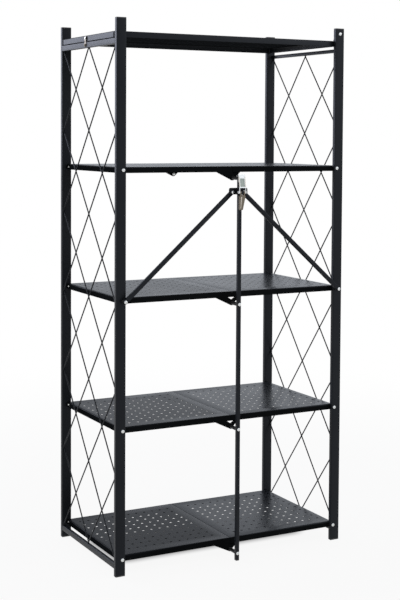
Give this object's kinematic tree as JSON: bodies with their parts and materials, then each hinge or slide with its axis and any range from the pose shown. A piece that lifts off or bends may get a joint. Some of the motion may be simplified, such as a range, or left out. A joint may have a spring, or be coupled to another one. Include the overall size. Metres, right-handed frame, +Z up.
{
  "type": "folding bookcase",
  "caption": "Folding steel bookcase: wire-grid side frames, hinged perforated shelf halves, centre post with braces and toggle latch, swing-up top panel.",
  "frame": {"origin": "on the floor, below the middle of the bounding box", "axes": "+X to the viewer's right, +Y to the back, +Z up"},
  "size_m": [0.7146, 0.4364, 1.478],
  "materials": {
    "black_powder_coat": "satin black powder coat on steel",
    "bright_zinc": "bright zinc plating",
    "black_plastic": "moulded black plastic"
  },
  "bodies": {
    "left_frame": {"left_front_post": "black_powder_coat", "left_front_post_cap": "black_plastic", "left_front_post_foot": "black_plastic", "left_rear_post": "black_powder_coat", "left_rear_post_cap": "black_plastic", "left_rear_post_foot": "black_plastic", "left_top_crossbar": "black_powder_coat", "left_bottom_crossbar": "black_powder_coat", "left_wire_grid": "black_powder_coat", "left_shelf_screw_1": "bright_zinc", "left_shelf_screw_2": "bright_zinc", "left_shelf_screw_3": "bright_zinc", "left_shelf_screw_4": "bright_zinc", "panel_clip_stud": "bright_zinc"},
    "right_frame": {"right_front_post": "black_powder_coat", "right_front_post_cap": "black_plastic", "right_front_post_foot": "black_plastic", "right_rear_post": "black_powder_coat", "right_rear_post_cap": "black_plastic", "right_rear_post_foot": "black_plastic", "right_top_crossbar": "black_powder_coat", "right_bottom_crossbar": "black_powder_coat", "right_wire_grid": "black_powder_coat", "right_shelf_screw_1": "bright_zinc", "right_shelf_screw_2": "bright_zinc", "right_shelf_screw_3": "bright_zinc", "right_shelf_screw_4": "bright_zinc", "top_pivot_screw_front": "bright_zinc", "top_pivot_screw_rear": "bright_zinc"},
    "centre_post": {"centre_post": "black_powder_coat", "centre_post_cap": "black_plastic", "centre_post_foot": "black_plastic", "centre_screw_1": "bright_zinc", "centre_screw_2": "bright_zinc", "centre_screw_3": "bright_zinc", "centre_screw_4": "bright_zinc", "latch_keeper": "bright_zinc"},
    "slider": {"slider": "black_powder_coat", "left_brace_rivet": "bright_zinc", "right_brace_rivet": "bright_zinc", "latch_base": "black_powder_coat", "latch_pin": "bright_zinc"},
    "left_brace": {"left_brace": "black_powder_coat"},
    "right_brace": {"right_brace": "black_powder_coat"},
    "top_panel": {"top_panel": "black_powder_coat", "panel_clip": "bright_zinc", "panel_clip_rivet": "bright_zinc"},
    "latch_lever": {"latch_lever": "bright_zinc"},
    "latch_hook": {"latch_hook": "bright_zinc"},
    "left_shelf_1": {"left_shelf_1": "black_powder_coat"},
    "right_shelf_1": {"right_shelf_1": "black_powder_coat"},
    "left_shelf_2": {"left_shelf_2": "black_powder_coat"},
    "right_shelf_2": {"right_shelf_2": "black_powder_coat"},
    "left_shelf_3": {"left_shelf_3": "black_powder_coat"},
    "right_shelf_3": {"right_shelf_3": "black_powder_coat"},
    "left_shelf_4": {"left_shelf_4": "black_powder_coat"},
    "right_shelf_4": {"right_shelf_4": "black_powder_coat"}
  },
  "joints": [
    {"name": "fold", "type": "hinge", "parent": "left_frame", "child": "left_shelf_3", "pos_m": [-0.33275, 0.02085, 0.735], "axis": [0, -1, 0], "range_deg": [0, 90]},
    {"name": "centre_post_lift", "type": "hinge", "parent": "left_shelf_3", "child": "centre_post", "pos_m": [0.00225, 0.02085, 0.711], "axis": [0, 1, 0], "range_deg": [0, 90]},
    {"name": "right_shelf_3_fold", "type": "hinge", "parent": "centre_post", "child": "right_shelf_3", "pos_m": [0.00225, 0.02085, 0.711], "axis": [0, 1, 0], "range_deg": [0, 90]},
    {"name": "right_frame_swing", "type": "hinge", "parent": "right_shelf_3", "child": "right_frame", "pos_m": [0.33725, 0.02085, 0.735], "axis": [0, -1, 0], "range_deg": [0, 90]},
    {"name": "left_shelf_1_fold", "type": "hinge", "parent": "left_frame", "child": "left_shelf_1", "pos_m": [-0.33275, 0.02085, 0.045], "axis": [0, -1, 0], "range_deg": [0, 90]},
    {"name": "right_shelf_1_fold", "type": "hinge", "parent": "centre_post", "child": "right_shelf_1", "pos_m": [0.00225, 0.02085, 0.021], "axis": [0, 1, 0], "range_deg": [0, 90]},
    {"name": "left_shelf_2_fold", "type": "hinge", "parent": "left_frame", "child": "left_shelf_2", "pos_m": [-0.33275, 0.02085, 0.39], "axis": [0, -1, 0], "range_deg": [0, 90]},
    {"name": "right_shelf_2_fold", "type": "hinge", "parent": "centre_post", "child": "right_shelf_2", "pos_m": [0.00225, 0.02085, 0.366], "axis": [0, 1, 0], "range_deg": [0, 90]},
    {"name": "left_shelf_4_fold", "type": "hinge", "parent": "left_frame", "child": "left_shelf_4", "pos_m": [-0.33275, 0.02085, 1.08], "axis": [0, -1, 0], "range_deg": [0, 90]},
    {"name": "right_shelf_4_fold", "type": "hinge", "parent": "centre_post", "child": "right_shelf_4", "pos_m": [0.00225, 0.02085, 1.056], "axis": [0, 1, 0], "range_deg": [0, 90]},
    {"name": "left_brace_swing", "type": "hinge", "parent": "left_frame", "child": "left_brace", "pos_m": [-0.33275, 0.02085, 0.735], "axis": [0, -1, 0], "range_deg": [0, 47.4]},
    {"name": "right_brace_swing", "type": "hinge", "parent": "right_frame", "child": "right_brace", "pos_m": [0.33725, 0.02085, 0.735], "axis": [0, 1, 0], "range_deg": [0, 47.4]},
    {"name": "slider_travel", "type": "slide", "parent": "centre_post", "child": "slider", "axis": [0, 0, -1], "range_m": [0, 0.2164]},
    {"name": "top_panel_swing", "type": "hinge", "parent": "right_frame", "child": "top_panel", "pos_m": [0.34325, 0.02085, 1.462], "axis": [0, 1, 0], "range_deg": [0, 270]},
    {"name": "latch_lever_turn", "type": "hinge", "parent": "slider", "child": "latch_lever", "pos_m": [0.00225, -0.21395, 1.018], "axis": [-1, 0, 0], "range_deg": [0, 105]},
    {"name": "latch_hook_swing", "type": "hinge", "parent": "slider", "child": "latch_hook", "pos_m": [0.00225, -0.21395, 1.018], "axis": [1, 0, 0], "range_deg": [0, 21]}
  ],
  "couplings": [
    {"joint": "centre_post_lift", "follows": "fold", "ratio": 1},
    {"joint": "right_shelf_3_fold", "follows": "fold", "ratio": 1},
    {"joint": "right_frame_swing", "follows": "fold", "ratio": 1},
    {"joint": "left_shelf_1_fold", "follows": "fold", "ratio": 1},
    {"joint": "right_shelf_1_fold", "follows": "fold", "ratio": 1},
    {"joint": "left_shelf_2_fold", "follows": "fold", "ratio": 1},
    {"joint": "right_shelf_2_fold", "follows": "fold", "ratio": 1},
    {"joint": "left_shelf_4_fold", "follows": "fold", "ratio": 1},
    {"joint": "right_shelf_4_fold", "follows": "fold", "ratio": 1},
    {"joint": "left_brace_swing", "follows": "fold", "ratio": 0.52656},
    {"joint": "right_brace_swing", "follows": "fold", "ratio": 0.52656},
    {"joint": "slider_travel", "follows": "fold", "m_per_rad": 0.13774},
    {"joint": "latch_hook_swing", "follows": "latch_lever_turn", "ratio": 0.2}
  ]
}
